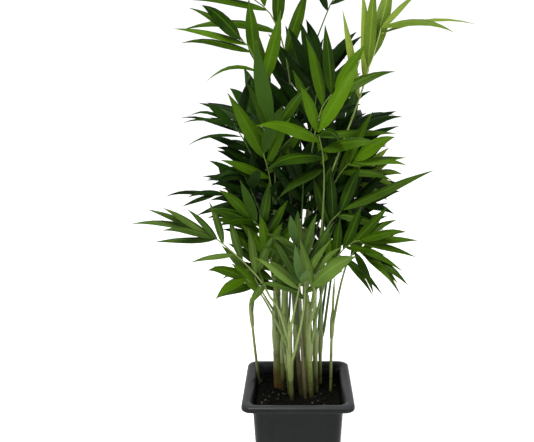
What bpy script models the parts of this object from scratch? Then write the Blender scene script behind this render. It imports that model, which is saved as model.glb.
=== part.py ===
"""Parlour palm in a square nursery pot: pot, potting soil, canes and fronds.

Metres, +Z up, the pot's base centred on the origin. The driving dimensions
below are in millimetres and are turned into metres by MM.
"""
import itertools
import math

import bmesh
import bpy
from mathutils import Vector
from mathutils.bvhtree import BVHTree

MM = 0.001

# Pot
POT_RIM_WIDTH = 130.0
POT_RIM_CORNER = 13.0
POT_RIM_HEIGHT = 7.0
RIM_GROOVE_INNER = 118.0
POT_MOUTH_WIDTH = 113.0
POT_TOP_WIDTH = 106.5
POT_BASE_WIDTH = 93.0
POT_CORNER = 9.0
POT_HEIGHT = 130.0
POT_WALL = 1.8
DRAIN_HOLE_RADIUS = 5.0
DRAIN_HOLE_SPACING = 56.0

# Soil
SOIL_TOP = 117.0
FIT_GAP = 0.35

# Canes: foot on the soil, top, and radius at foot and top
CANE_BURIED = 15.0
CANES = {
    "left_thin": ((-48, 22), (-58, 14, 236), 1.9, 1.4),
    "left_thick": ((-24, 20), (-25, 16, 330), 6.6, 3.2),
    "left_green": ((-18, 9), (-16, 6, 285), 3.0, 2.2),
    "mid_left": ((-10, -3), (-17, -10, 290), 2.8, 2.0),
    "front_pale": ((-7, -17), (-10, -29, 225), 2.6, 2.0),
    "brown": ((-2, 13), (-1, 18, 345), 3.8, 2.2),
    "centre_left": ((4, -4), (-8, -5, 300), 3.3, 2.1),
    "centre": ((11, 6), (8, 3, 335), 4.0, 2.4),
    "centre_front": ((16, -9), (12, -26, 250), 3.6, 2.2),
    "centre_right": ((22, 2), (20, -6, 305), 3.2, 2.0),
    "centre_slim": ((9, -13), (2, -19, 262), 2.4, 1.7),
    "right": ((28, 24), (29, 18, 300), 2.2, 1.7),
    "right_thin": ((40, 4), (43, 2, 262), 1.9, 1.4),
    "back_left": ((-13, 36), (-14, 40, 330), 2.8, 2.0),
    "back_right": ((10, 36), (13, 42, 350), 2.8, 2.0),
}

# Leaflets
LEAFLET_THICKNESS = 1.0
LEAFLET_FOLD = 0.16
LEAFLET_CLEARANCE = 0.35
LEAFLET_RINGS = ((0.02, 0.24), (0.24, 0.95), (0.72, 0.86))
LEAFLET_TURNS = (0, 7, -7, 14, -14, 22, -22)
LEAFLET_SLIMNESS = 0.86
LEAFLET_TILTS = (0, 8, -8, 16, -16, 24, -24, 34, -34, 46, -46)
LEAFLET_SCALES = (1.0, 0.9, 0.8, 0.7)
LEAFLET_SLIDES = (0.0, -0.02, 0.02, -0.04, 0.04)

# Fronds with every leaflet set out: cane, height on the cane, middle and tip of
# the stalk, leaf tone, then a row for each leaflet: place along the stalk (0 to 1),
# heading seen from the front (0 right, 90 up), tilt towards the front, length,
# width, and droop as a share of the length.
FRONDS = {
    "low_broad": ("centre_front", 214, (15, -44, 250), (14, -60, 272), "pale", (
        (1.0, 43, 16, 64, 23, 0.0), (0.84, 104, 6, 66, 12, 0.0),
        (0.92, 68, 8, 88, 10, 0.42))),
    "low_vee": ("front_pale", 214, (-2, -44, 248), (3, -54, 276), "pale", (
        (0.80, 136, 12, 68, 11, 0.0), (0.88, 58, 8, 64, 11, 0.0),
        (0.95, 116, 14, 78, 12, 0.0), (1.0, 96, 4, 70, 11, 0.0),
        (0.98, 76, 12, 72, 10, 0.0), (0.72, 152, 18, 52, 10, 0.1))),
    "left_low": ("front_pale", 205, (-42, -44, 274), (-104, -64, 338), "pale", (
        (0.36, 112, 0, 62, 13, 0.0), (0.45, 202, 22, 40, 12, 0.1),
        (0.55, 98, 0, 56, 11, 0.0), (0.60, 186, 20, 34, 7, 0.1),
        (0.68, 104, 0, 54, 11, 0.0), (0.74, 178, 16, 50, 9, 0.1),
        (0.84, 106, 0, 50, 10, 0.0), (0.98, 169, 10, 76, 10, 0.02),
        (0.90, 158, 14, 62, 12, 0.0), (0.94, 141, 2, 60, 10, 0.0),
        (0.88, 126, 4, 52, 9, 0.0), (0.93, 176, 16, 66, 10, 0.0),
        (1.0, 154, 4, 62, 9, 0.0))),
    "centre_fan": ("centre_front", 238, (14, -40, 372), (12, -55, 441), "mid", (
        (0.64, 196, 20, 54, 13, 0.2), (0.72, 172, 30, 70, 17, 0.2),
        (0.78, 22, 28, 68, 18, 0.12), (0.86, 155, 22, 78, 19, 0.08),
        (0.92, 44, 40, 40, 11, 0.6), (0.97, 110, 15, 56, 13, 0.0),
        (1.0, 60, 10, 88, 18, 0.0))),
    "right_up": ("centre", 290, (38, -14, 372), (62, -24, 404), "mid", (
        (0.42, 120, 0, 60, 13, 0.0), (0.50, 106, 0, 62, 13, 0.0),
        (0.62, 62, -8, 76, 8, 0.0), (0.70, 2, 22, 58, 12, 0.05),
        (0.78, 66, -4, 72, 8, 0.0), (0.84, 14, 6, 66, 11, 0.08),
        (0.90, 68, 4, 64, 8, 0.0), (0.95, 4, 14, 60, 11, 0.02),
        (1.0, 38, 12, 56, 18, 0.0))),
    "right_long": ("centre_right", 292, (32, -24, 328), (50, -36, 352), "mid", (
        (0.60, 108, 4, 58, 13, 0.0), (0.70, 94, 4, 62, 13, 0.0),
        (0.82, -8, 18, 54, 12, 0.1), (0.92, 70, 4, 60, 13, 0.0),
        (1.0, 25, 8, 106, 12, -0.05))),
    "left_upright": ("left_thick", 300, (-26, -20, 400), (-30, -30, 452), "mid", (
        (0.62, 130, 12, 72, 14, 0.1), (0.70, 112, 8, 78, 14, 0.05),
        (0.76, 58, 0, 76, 14, 0.1), (0.88, 99, 14, 92, 18, 0.0),
        (0.94, 64, 5, 76, 15, 0.0), (1.0, 80, 8, 98, 18, 0.0))),
    "left_fan": ("left_thick", 284, (-28, -16, 360), (-38, -34, 415), "mid", (
        (0.60, 142, 12, 58, 13, 0.1), (0.70, 150, 10, 62, 13, 0.1),
        (0.75, 55, 5, 74, 14, 0.1), (0.84, 66, 14, 66, 13, 0.0),
        (0.92, 117, 12, 84, 17, 0.0), (0.96, 76, 10, 70, 15, 0.0),
        (1.0, 107, 2, 88, 16, 0.0))),
    "top_left": ("brown", 322, (-12, 16, 510), (-53, 0, 578), "mid", (
        (0.53, 72, 5, 80, 16, 0.0), (0.64, 163, 10, 112, 14, 0.25),
        (0.68, 88, 5, 70, 15, 0.0), (0.80, 165, 10, 84, 12, 0.12),
        (0.84, 97, 0, 66, 13, 0.0), (0.96, 150, 10, 72, 12, 0.15),
        (1.0, 112, 0, 64, 13, 0.05))),
    "upper_left": ("left_thick", 316, (-37, -14, 475), (-61, -30, 533), "mid", (
        (0.48, 100, -5, 90, 15, 0.0), (0.55, 76, -5, 84, 16, 0.0),
        (0.62, 152, 20, 66, 6, 0.55), (0.70, 96, -8, 70, 15, 0.0),
        (0.78, 167, 10, 76, 11, 0.02), (0.86, 162, 0, 82, 10, 0.08),
        (0.93, 144, -5, 72, 9, 0.05), (1.0, 132, 8, 58, 17, 0.08))),
    "centre_top": ("brown", 334, (2, 35, 470), (45, 30, 588), "dark", (
        (0.34, 122, 0, 78, 15, 0.0), (0.38, 60, 5, 78, 15, 0.0),
        (0.44, 112, 0, 80, 15, 0.0), (0.48, 70, 5, 80, 15, 0.0),
        (0.56, 88, 8, 60, 13, 0.0), (0.60, 150, 10, 34, 6, 0.5),
        (0.63, 38, 15, 60, 7, 0.35), (0.90, 108, 0, 52, 11, 0.0),
        (0.93, 30, 0, 56, 11, 0.1), (0.98, 84, 0, 56, 12, 0.0),
        (1.0, 48, 0, 54, 11, 0.05))),
    "right_top": ("centre", 320, (44, -4, 466), (78, -12, 546), "pale", (
        (0.52, 102, 6, 98, 10, 0.0), (0.60, 93, 3, 100, 12, 0.0),
        (0.68, 88, 6, 92, 15, 0.0), (0.76, 76, 8, 96, 17, 0.0),
        (0.93, 22, 5, 112, 6, 0.28), (0.97, 46, -5, 58, 8, 0.0),
        (1.0, 17, 15, 84, 12, 0.28))),
    "right_side": ("centre", 304, (32, -14, 430), (48, -20, 478), "mid", (
        (0.50, 8, 10, 92, 12, 0.08), (0.58, 112, 6, 70, 14, 0.0),
        (0.66, 40, 0, 66, 13, 0.0), (0.74, 104, 4, 78, 14, 0.0),
        (0.82, 27, 6, 82, 15, 0.0), (0.92, 96, 4, 76, 14, 0.0),
        (1.0, 58, 0, 62, 14, 0.0))),
    "left_mid": ("back_left", 300, (-48, 12, 394), (-74, 0, 444), "dark", (
        (0.48, 140, 8, 60, 12, 0.15), (0.55, 52, -12, 74, 14, 0.1),
        (0.62, 150, 5, 58, 10, 0.15), (0.72, 60, -12, 72, 14, 0.05),
        (0.78, 163, 15, 66, 5, 0.35), (0.84, 152, -5, 80, 5, 0.2),
        (0.88, 76, -10, 66, 12, 0.0), (0.91, 152, 12, 68, 5, 0.35),
        (0.96, 136, 0, 44, 10, 0.1), (0.98, 143, 5, 68, 5, 0.4),
        (1.0, 111, 10, 64, 12, 0.0))),
    "left_mid_low": ("mid_left", 276, (-42, -12, 342), (-60, -26, 390), "dark", (
        (0.46, 150, 16, 52, 12, 0.15), (0.55, 60, 5, 64, 13, 0.1),
        (0.62, 160, 15, 56, 12, 0.15), (0.68, 92, 8, 60, 13, 0.0),
        (0.74, 152, 12, 54, 11, 0.1), (0.80, 72, 5, 62, 13, 0.05),
        (0.86, 142, 8, 54, 11, 0.08), (0.95, 162, 20, 44, 10, 0.25),
        (1.0, 148, 15, 38, 7, 0.6))),
    "left_wispy": ("left_thin", 226, (-60, 10, 330), (-104, 6, 362), "dark", (
        (0.38, 130, 10, 50, 12, 0.1), (0.45, 62, 0, 56, 12, 0.05),
        (0.56, 168, 15, 56, 11, 0.1), (0.64, 84, 5, 56, 11, 0.0),
        (0.72, 188, 18, 52, 10, 0.1), (0.80, 112, 5, 48, 10, 0.0),
        (0.88, 172, 12, 44, 8, 0.1), (0.95, 192, 12, 42, 7, 0.1),
        (1.0, 172, 2, 56, 6, 0.12))),
    "low_left": ("front_pale", 192, (-32, -42, 254), (-56, -60, 282), "mid", (
        (0.55, 124, 5, 56, 12, 0.0), (0.68, 178, 22, 44, 12, 0.3),
        (0.80, 118, 8, 54, 12, 0.0), (0.90, 172, 20, 50, 13, 0.25),
        (1.0, 146, 12, 48, 12, 0.1))),
    "pale_upright": ("left_thick", 216, (-44, -26, 260), (-49, -44, 282), "pale", (
        (0.70, 150, 10, 54, 12, 0.1), (0.80, 128, 10, 58, 13, 0.08),
        (0.88, 60, 2, 60, 13, 0.0), (1.0, 94, 6, 66, 20, 0.0))),
    "right_low": ("centre_front", 196, (38, -36, 288), (70, -54, 322), "mid", (
        (0.46, 96, 4, 52, 12, 0.0), (0.55, 84, 0, 52, 12, 0.0),
        (0.70, 70, 0, 56, 11, 0.0), (0.80, -12, 20, 62, 9, 0.15),
        (0.88, 50, 2, 54, 11, 0.0), (0.93, -4, 14, 64, 9, 0.12),
        (0.97, 8, 8, 62, 10, 0.08), (1.0, 26, 4, 58, 11, 0.03),
        (0.62, -26, 22, 58, 9, 0.2), (0.84, 34, 12, 58, 10, 0.05),
        (0.74, 16, 24, 60, 9, 0.1))),
    "right_drooping": ("right_thin", 216, (50, -22, 292), (70, -42, 302), "mid", (
        (0.45, -30, 30, 38, 7, 0.4), (0.55, 62, 0, 56, 11, 0.0),
        (0.66, -58, 25, 44, 9, 0.2), (0.78, -34, 12, 60, 8, 0.25),
        (0.84, -24, 28, 46, 8, 0.25), (0.90, -26, 20, 48, 10, 0.2),
        (0.95, -16, 14, 54, 10, 0.2), (1.0, -4, 6, 58, 10, 0.22),
        (0.86, 34, 10, 54, 10, 0.05), (0.70, 98, 6, 56, 11, 0.0))),
    "right_mid": ("right", 286, (44, 2, 334), (74, -10, 354), "dark", (
        (0.36, 118, 0, 56, 13, 0.0), (0.45, 104, 0, 58, 13, 0.0),
        (0.58, 78, -5, 66, 13, 0.0), (0.70, 66, -5, 62, 12, 0.0),
        (0.80, -26, 14, 42, 11, 0.1), (0.88, 48, -5, 54, 11, 0.0),
        (0.94, -6, 8, 40, 11, 0.08), (1.0, 24, 0, 46, 12, 0.05))),
    "right_yellow": ("right", 294, (54, 18, 366), (88, 14, 384), "pale", (
        (0.48, 92, 0, 54, 12, 0.0), (0.55, 70, 0, 54, 12, 0.0),
        (0.66, -24, 12, 46, 10, 0.1), (0.78, 46, 0, 48, 10, 0.0),
        (0.86, -18, 10, 40, 10, 0.1), (0.94, 34, 0, 36, 9, 0.0),
        (1.0, 8, 4, 34, 9, 0.08))),
}

# Inner and back fronds, feathered evenly: cane, height, middle and tip of the
# stalk, leaf tone, leaflets a side, leaflet length and width.
FEATHERED_FRONDS = {
    "back_left_high": ("back_left", 316, (-34, 68, 408), (-58, 98, 446), "dark", 5, 97, 16),
    "back_left_mid": ("back_left", 284, (-42, 80, 346), (-68, 122, 366), "dark", 5, 86, 14),
    "back_left_low": ("back_left", 262, (-18, 78, 312), (-32, 118, 334), "dark", 5, 81, 15),
    "back_centre_high": ("back_right", 338, (6, 70, 440), (12, 96, 496), "dark", 6, 95, 16),
    "back_centre": ("back_right", 322, (26, 84, 416), (38, 122, 462), "dark", 5, 93, 16),
    "back_centre_low": ("back_right", 290, (14, 84, 334), (12, 132, 366), "dark", 5, 84, 15),
    "back_right_high": ("back_right", 306, (44, 66, 394), (72, 92, 434), "dark", 5, 90, 14),
    "back_right_mid": ("right", 270, (52, 62, 336), (80, 104, 358), "dark", 5, 81, 14),
    "back_right_low": ("right", 206, (46, 58, 290), (66, 98, 306), "dark", 6, 76, 13),
    "inner_high": ("centre_left", 290, (20, 12, 440), (28, 18, 502), "dark", 6, 86, 15),
    "inner_right": ("centre_right", 276, (36, 8, 360), (50, 2, 410), "dark", 6, 77, 14),
    "inner_left": ("brown", 284, (-12, 6, 350), (-22, -4, 398), "dark", 6, 79, 14),
    "inner_centre": ("centre_left", 204, (4, -14, 330), (6, -26, 384), "dark", 5, 74, 14),
    "inner_low_right": ("centre_right", 196, (34, 6, 300), (52, -4, 330), "dark", 6, 74, 13),
    "front_left": ("left_thick", 196, (-42, -26, 308), (-62, -46, 344), "mid", 6, 68, 12),
    "front_left_low": ("mid_left", 178, (-28, -28, 266), (-36, -46, 306), "mid", 6, 66, 12),
    "front_low": ("front_pale", 172, (-14, -42, 262), (-14, -54, 318), "mid", 6, 70, 12),
    "inner_right_deep": ("right", 188, (36, 28, 330), (52, 30, 392), "dark", 5, 84, 14),
    "inner_centre_deep": ("back_right", 262, (18, 22, 350), (26, 20, 420), "dark", 5, 84, 14),
    "inner_left_deep": ("back_left", 192, (-26, 22, 330), (-44, 18, 388), "dark", 5, 82, 14),
    "inner_left_low": ("left_green", 182, (-34, 4, 302), (-50, -4, 348), "dark", 5, 74, 13),
}

STALK_FOOT_RADIUS = 2.1
STALK_TIP_RADIUS = 0.75
STALK_SEGMENTS = 8
FACE_FRONT = Vector((0.0, -0.75, 0.66))
FACE_BACK = Vector((0.0, 0.66, 0.75))

COLOURS = {
    "pot": ((0.028, 0.031, 0.034), 0.42),
    "soil": ((0.022, 0.018, 0.015), 0.95),
    "cane": ((0.230, 0.270, 0.090), 0.45),
    "leaf_dark": ((0.020, 0.095, 0.012), 0.38),
    "leaf_mid": ((0.050, 0.175, 0.018), 0.38),
    "leaf_pale": ((0.150, 0.290, 0.055), 0.42),
}


def clear_scene():
    for obj in list(bpy.data.objects):
        bpy.data.objects.remove(obj, do_unlink=True)


def make_material(name):
    colour, roughness = COLOURS[name]
    material = bpy.data.materials.new(name)
    material.use_nodes = True
    shader = material.node_tree.nodes["Principled BSDF"]
    shader.inputs["Base Color"].default_value = (*colour, 1.0)
    shader.inputs["Roughness"].default_value = roughness
    shader.inputs["Metallic"].default_value = 0.0
    return material


def object_from_bmesh(name, mesh_data, collection):
    bmesh.ops.recalc_face_normals(mesh_data, faces=mesh_data.faces)
    mesh = bpy.data.meshes.new(name)
    mesh_data.to_mesh(mesh)
    mesh_data.free()
    obj = bpy.data.objects.new(name, mesh)
    collection.objects.link(obj)
    return obj


def rounded_block(name, low_width, high_width, corner, low, high, collection, edge=0.0):
    """A square block with upright corners rounded, tapering from low to high."""
    block = bmesh.new()
    bmesh.ops.create_cube(block, size=1.0)
    for vertex in block.verts:
        width = high_width if vertex.co.z > 0 else low_width
        vertex.co.x = math.copysign(width * MM / 2, vertex.co.x)
        vertex.co.y = math.copysign(width * MM / 2, vertex.co.y)
        vertex.co.z = high * MM if vertex.co.z > 0 else low * MM
    upright = [e for e in block.edges if abs(e.verts[0].co.z - e.verts[1].co.z) > MM]
    bmesh.ops.bevel(block, geom=upright, offset=corner * MM, segments=4, profile=0.5,
                    affect="EDGES")
    if edge:
        top = [e for e in block.edges if min(v.co.z for v in e.verts) > high * MM - 1e-6]
        bmesh.ops.bevel(block, geom=top, offset=edge * MM, segments=3, profile=0.5,
                        affect="EDGES")
    return object_from_bmesh(name, block, collection)


def cylinder(name, radius, low, high, centre, collection, sides=16):
    rod = bmesh.new()
    bmesh.ops.create_cone(rod, cap_ends=True, segments=sides, radius1=radius * MM,
                          radius2=radius * MM, depth=(high - low) * MM)
    place = Vector((centre[0], centre[1], (low + high) / 2)) * MM
    bmesh.ops.translate(rod, verts=rod.verts, vec=place)
    return object_from_bmesh(name, rod, collection)


def combine(target, tool, operation):
    """Applies one exact Boolean to the target and removes the tool."""
    step = target.modifiers.new(operation.lower(), "BOOLEAN")
    step.operation = operation
    step.solver = "EXACT"
    step.use_self = operation == "UNION"
    step.object = tool
    graph = bpy.context.evaluated_depsgraph_get()
    result = bpy.data.meshes.new_from_object(target.evaluated_get(graph))
    target.modifiers.clear()
    target.data = result
    bpy.data.objects.remove(tool, do_unlink=True)


def smooth_shade(obj):
    for polygon in obj.data.polygons:
        polygon.use_smooth = True


def tube(name, points, radii, sides_step, collection):
    """A tapering round stem along a line of points, closed at both ends."""
    curve = bpy.data.curves.new(name, "CURVE")
    curve.dimensions = "3D"
    curve.bevel_depth = MM
    curve.bevel_resolution = sides_step
    curve.use_fill_caps = True
    spline = curve.splines.new("POLY")
    spline.points.add(len(points) - 1)
    for knot, point, radius in zip(spline.points, points, radii):
        knot.co = (*point, 1.0)
        knot.radius = radius
    path = bpy.data.objects.new(name + "_path", curve)
    collection.objects.link(path)
    graph = bpy.context.evaluated_depsgraph_get()
    mesh = bpy.data.meshes.new_from_object(path.evaluated_get(graph))
    bpy.data.objects.remove(path, do_unlink=True)
    shape = bmesh.new()
    shape.from_mesh(mesh)
    bmesh.ops.remove_doubles(shape, verts=shape.verts, dist=1e-6)
    return object_from_bmesh(name, shape, collection)


def through(start, middle, end, count):
    """Points of a parabola from start to end passing through middle."""
    control = middle * 2 - (start + end) / 2
    points = []
    for index in range(count + 1):
        t = index / count
        points.append(start * (1 - t) ** 2 + control * 2 * t * (1 - t) + end * t * t)
    return points


def along(points, t):
    """The point at share t of a line of points, and the direction there."""
    place = min(t, 0.988) * (len(points) - 1)
    index = int(place)
    here = points[index].lerp(points[index + 1], place - index)
    return here, (points[index + 1] - points[index]).normalized()


def leaflet_shape(foot, heading, facing, length, width, droop, extra):
    """Vertices and faces of one folded leaflet, thickened by extra all round."""
    thickness = LEAFLET_THICKNESS / 2 + extra
    across = heading.cross(facing).normalized()
    vertices = []
    for share, breadth in LEAFLET_RINGS:
        centre = foot + heading * (length * share)
        centre.z -= droop * length * share * share
        tangent = (heading - Vector((0, 0, 2 * droop * share))).normalized()
        upper = across.cross(tangent).normalized()
        half = width * breadth / 2
        fold = upper * (LEAFLET_FOLD * half * 2)
        body = upper * (thickness * (0.55 + 0.45 * breadth))
        vertices.append(centre - across * (half + extra))
        vertices.append(centre + fold + body)
        vertices.append(centre + across * (half + extra))
        vertices.append(centre + fold - body)
    tip = foot + heading * (length + extra)
    tip.z -= droop * length
    root = foot - heading * 0.25
    vertices.append(tip)
    vertices.append(root)
    faces = []
    last = len(LEAFLET_RINGS) - 1
    for ring in range(last):
        for corner in range(4):
            a = ring * 4 + corner
            b = ring * 4 + (corner + 1) % 4
            faces.append((a, b, b + 4, a + 4))
    for corner in range(4):
        following = (corner + 1) % 4
        faces.append((last * 4 + corner, last * 4 + following, len(vertices) - 2))
        faces.append((following, corner, len(vertices) - 1))
    return [vertex * MM for vertex in vertices], faces


class Occupied:
    """Everything placed so far, kept to find a clear place for the next piece."""

    def __init__(self):
        self.pieces = []

    def add(self, vertices, faces, owner):
        low = [min(v[axis] for v in vertices) for axis in range(3)]
        high = [max(v[axis] for v in vertices) for axis in range(3)]
        tree = BVHTree.FromPolygons(vertices, faces)
        self.pieces.append((low, high, tree, owner))

    def blocked(self, vertices, faces, skip):
        low = [min(v[axis] for v in vertices) for axis in range(3)]
        high = [max(v[axis] for v in vertices) for axis in range(3)]
        tree = None
        for other_low, other_high, other, owner in self.pieces:
            if owner in skip:
                continue
            if any(low[a] > other_high[a] or high[a] < other_low[a] for a in range(3)):
                continue
            if tree is None:
                tree = BVHTree.FromPolygons(vertices, faces)
            if tree.overlap(other):
                return True
        return False


def tube_outline(points, radii, sides=6):
    """Vertices and faces of an open tube, enough to test for crossing."""
    vertices = []
    faces = []
    for index, (point, radius) in enumerate(zip(points, radii)):
        ahead = points[min(index + 1, len(points) - 1)]
        behind = points[max(index - 1, 0)]
        tangent = (ahead - behind).normalized()
        first = tangent.orthogonal().normalized()
        second = tangent.cross(first)
        for side in range(sides):
            angle = 2 * math.pi * side / sides
            spoke = first * math.cos(angle) + second * math.sin(angle)
            vertices.append((point + spoke * radius) * MM)
    for index in range(len(points) - 1):
        for side in range(sides):
            a = index * sides + side
            b = index * sides + (side + 1) % sides
            faces.append((a, b, b + sides, a + sides))
    return vertices, faces


def cane_points(name):
    foot, top, foot_radius, top_radius = CANES[name]
    start = Vector((foot[0], foot[1], SOIL_TOP))
    end = Vector(top)
    middle = start.lerp(end, 0.5) + (end - start).cross(Vector((0, 1, 0))).normalized()
    points = through(start, middle, end, 5)
    buried = start + (points[0] - points[1]).normalized() * CANE_BURIED
    points.insert(0, buried)
    radii = [foot_radius]
    for index in range(6):
        radii.append(foot_radius + (top_radius - foot_radius) * (index / 5) ** 0.7)
    return points, radii


def stalk_start(cane, height, middle):
    """The point beside the cane where a frond's stalk leaves it."""
    points, radii = cane_points(cane)
    index = next(i for i in range(len(points) - 1) if points[i + 1].z >= height)
    share = (height - points[index].z) / (points[index + 1].z - points[index].z)
    centre = points[index].lerp(points[index + 1], share)
    radius = radii[index] + (radii[index + 1] - radii[index]) * share
    outward = Vector((middle.x - centre.x, middle.y - centre.y, 0)).normalized()
    return centre + outward * (radius * 1.05 + STALK_FOOT_RADIUS + FIT_GAP)


def even_leaflets(points, pairs, length, width):
    """Leaflet rows for a frond feathered evenly on both sides."""
    rows = []
    for index in range(2 * pairs):
        t = 0.42 + 0.58 * index / (2 * pairs - 1)
        side = 1 if index % 2 else -1
        _, tangent = along(points, t)
        opening = 50 - 32 * (t - 0.42) / 0.58
        lean = math.degrees(math.atan2(tangent.z, tangent.x))
        toward = math.degrees(math.asin(-tangent.y))
        reach = length * (1.0 - 0.28 * abs(2 * index / (2 * pairs - 1) - 0.9))
        rows.append((t, lean - side * opening, toward * 0.6 + 4, reach, width, 0.06))
    return rows


def heading_vector(heading, toward):
    flat = math.cos(math.radians(toward))
    return Vector((math.cos(math.radians(heading)) * flat,
                   -math.sin(math.radians(toward)),
                   math.sin(math.radians(heading)) * flat))


def build_stalk(name, cane, height, middle, tip, occupied, collection):
    """Places a frond's stalk clear of every cane and stalk before it."""
    count = STALK_SEGMENTS
    radii = [STALK_FOOT_RADIUS + (STALK_TIP_RADIUS - STALK_FOOT_RADIUS) * i / count
             for i in range(count + 1)]
    padded = [radius + LEAFLET_CLEARANCE for radius in radii]
    for shift in (0, 3, -3, 6, -6, 9, -9, 13, -13, 17, -17, 22, -22, 28, -28, 35, -35):
        for lift in (0, 4, -4, 8, -8, 14, -14, 22, -22):
            centre = Vector(middle) + Vector((lift, shift, 0))
            start = stalk_start(cane, height, centre)
            end = Vector(tip) + Vector((lift / 2, shift / 2, 0))
            points = through(start, centre, end, count)
            if not occupied.blocked(*tube_outline(points, padded), ()):
                occupied.add(*tube_outline(points, padded), name + "_stalk")
                stalk = tube(name, [p * MM for p in points], radii, 1, collection)
                return points, stalk
    raise RuntimeError("no clear place for the stalk of " + name)


def change(trial):
    """How far a trial place is from the one asked for."""
    turn, tilt, scale, slide = trial
    return abs(turn) / 8 + abs(tilt) / 22 + (1 - scale) * 9 + abs(slide) * 45


TRIALS = sorted(
    itertools.product(LEAFLET_TURNS, LEAFLET_TILTS, LEAFLET_SCALES, LEAFLET_SLIDES),
    key=change)


def clear_leaflet(name, points, row, occupied):
    """The leaflet's settings at the first clear place near the one asked for."""
    t, heading, toward, length, width, droop = row
    stalk = name + "_stalk"
    for turn, tilt, scale, slide in TRIALS:
        foot, tangent = along(points, t + slide)
        direction = heading_vector(heading + turn, toward + tilt)
        facing = (FACE_FRONT + tangent * 0.2).normalized()
        if abs(direction.dot(facing)) > 0.88:
            facing = FACE_BACK
        start = foot + direction * 0.2
        settings = (start, direction, facing, length * scale, width * LEAFLET_SLIMNESS, droop)
        if occupied.blocked(*leaflet_shape(*settings, LEAFLET_CLEARANCE), (name, stalk)):
            continue
        if not occupied.blocked(*leaflet_shape(*settings, 0.1), (stalk,)):
            return settings
    return None


def build_leaflets(name, points, rows, occupied, collection):
    """Adds a frond's leaflets as one mesh, each in the first clear place."""
    leaves = bmesh.new()
    for row in rows:
        settings = clear_leaflet(name, points, row, occupied)
        if settings is None:
            continue
        vertices, faces = leaflet_shape(*settings, 0.0)
        occupied.add(vertices, faces, name)
        made = [leaves.verts.new(vertex) for vertex in vertices]
        for face in faces:
            leaves.faces.new([made[i] for i in face])
    return object_from_bmesh(name + "_leaflets", leaves, collection)


clear_scene()
palm = bpy.data.collections.new("potted_palm")
bpy.context.scene.collection.children.link(palm)
materials = {name: make_material(name) for name in COLOURS}

# Pot: a thin tapered square shell with a turned-down rim and four drain holes.
rim_low = POT_HEIGHT - POT_RIM_HEIGHT
pot = rounded_block("pot", POT_BASE_WIDTH, POT_TOP_WIDTH, POT_CORNER, 0, rim_low + 2, palm)
rim = rounded_block("rim", POT_RIM_WIDTH, POT_RIM_WIDTH, POT_RIM_CORNER, rim_low,
                    POT_HEIGHT, palm, edge=2.6)
under_rim = rounded_block("under_rim", POT_RIM_WIDTH - 2 * POT_WALL,
                          POT_RIM_WIDTH - 2 * POT_WALL, POT_RIM_CORNER - POT_WALL,
                          rim_low - 5, POT_HEIGHT - 2.6, palm)
keep_wall = rounded_block("keep_wall", RIM_GROOVE_INNER, RIM_GROOVE_INNER, POT_RIM_CORNER - 6,
                          rim_low - 6, POT_HEIGHT - 1, palm)
combine(under_rim, keep_wall, "DIFFERENCE")
combine(pot, rim, "UNION")
combine(pot, under_rim, "DIFFERENCE")
inner_base = POT_BASE_WIDTH - 2 * POT_WALL
inner_top = POT_TOP_WIDTH - 2 * POT_WALL
hollow = rounded_block("hollow", inner_base, inner_top, POT_CORNER - POT_WALL, POT_WALL,
                       POT_HEIGHT + 5, palm)
combine(pot, hollow, "DIFFERENCE")
mouth = rounded_block("mouth", inner_top, POT_MOUTH_WIDTH, POT_CORNER, POT_HEIGHT - 4,
                      POT_HEIGHT + 0.5, palm)
combine(pot, mouth, "DIFFERENCE")
for x in (-1, 1):
    for y in (-1, 1):
        spot = (x * DRAIN_HOLE_SPACING / 2, y * DRAIN_HOLE_SPACING / 2)
        hole = cylinder("hole", DRAIN_HOLE_RADIUS, -5, 5, spot, palm)
        combine(pot, hole, "DIFFERENCE")
pot.data.materials.clear()
pot.data.materials.append(materials["pot"])

# Soil: fills the pot just clear of its walls, with a socket for each cane.
taper = (inner_top - inner_base) / (POT_HEIGHT + 5 - POT_WALL)
soil_base = inner_base - 2 * FIT_GAP
soil_width = inner_base + taper * (SOIL_TOP - POT_WALL) - 2 * FIT_GAP
soil = rounded_block("soil", soil_base, soil_width, POT_CORNER - POT_WALL,
                     POT_WALL + FIT_GAP, SOIL_TOP, palm)

# Canes: round tapering stems rooted in the soil.
occupied = Occupied()
for cane_name, cane in CANES.items():
    points, radii = cane_points(cane_name)
    stem = tube("cane_" + cane_name, [p * MM for p in points], radii, 2, palm)
    smooth_shade(stem)
    stem.data.materials.append(materials["cane"])
    padded = [radius + FIT_GAP for radius in radii]
    occupied.add(*tube_outline(points, padded, 8), cane_name)
    bottom = points[0] + (points[0] - points[1]).normalized() * FIT_GAP
    above = points[1] + (points[1] - points[0]).normalized() * 4
    socket_radius = radii[0] + FIT_GAP
    socket = tube("socket", [bottom * MM, above * MM], [socket_radius] * 2, 2, palm)
    combine(soil, socket, "DIFFERENCE")
soil.data.materials.clear()
soil.data.materials.append(materials["soil"])

# Fronds: each is one stalk with its leaflets grown on it.
fronds = []
for name, (cane, height, middle, tip, tone, rows) in FRONDS.items():
    points, stalk = build_stalk(name, cane, height, middle, tip, occupied, palm)
    fronds.append((name, points, stalk, tone, rows))
for name, row in FEATHERED_FRONDS.items():
    cane, height, middle, tip, tone, pairs, length, width = row
    points, stalk = build_stalk(name, cane, height, middle, tip, occupied, palm)
    rows = even_leaflets(points, pairs, length, width)
    fronds.append((name, points, stalk, tone, rows))
for name, points, stalk, tone, rows in fronds:
    leaves = build_leaflets(name, points, rows, occupied, palm)
    combine(stalk, leaves, "UNION")
    stalk.name = "frond_" + name
    smooth_shade(stalk)
    stalk.data.materials.clear()
    stalk.data.materials.append(materials["leaf_" + tone])
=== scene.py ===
"""A parlour palm in a square nursery pot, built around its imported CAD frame."""

import math
import random

import bmesh
import bpy
from mathutils import Matrix, Vector, noise


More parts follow.
